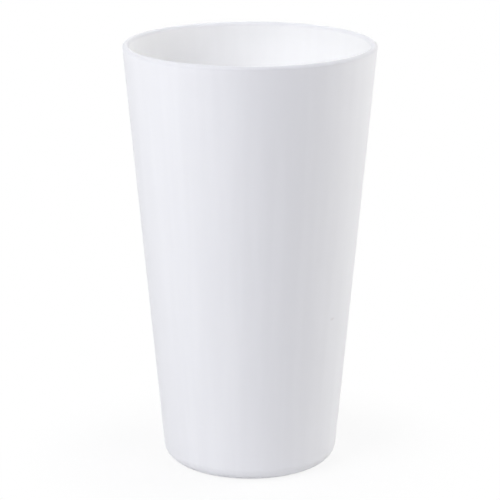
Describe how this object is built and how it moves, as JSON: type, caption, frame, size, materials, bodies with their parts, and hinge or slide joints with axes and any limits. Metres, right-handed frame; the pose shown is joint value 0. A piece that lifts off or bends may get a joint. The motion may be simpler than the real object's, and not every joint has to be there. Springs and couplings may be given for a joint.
{
  "type": "reusable plastic cup",
  "caption": "Tall tapered drinking cup with a straight side, a fully rounded lip and a rounded foot, moulded in one piece of white plastic.",
  "frame": {"origin": "on the cup's axis, at the level of the foot ring that stands on the table", "axes": "+Z along the cup's axis, up through the mouth; the cup is round, so X and Y are free"},
  "size_m": [0.0798, 0.0798, 0.136],
  "materials": {
    "white_plastic": "white injection-moulded polypropylene with a soft satin surface, slightly cool in tone"
  },
  "bodies": {
    "root": {"cup": "white_plastic"}
  },
  "joints": []
}
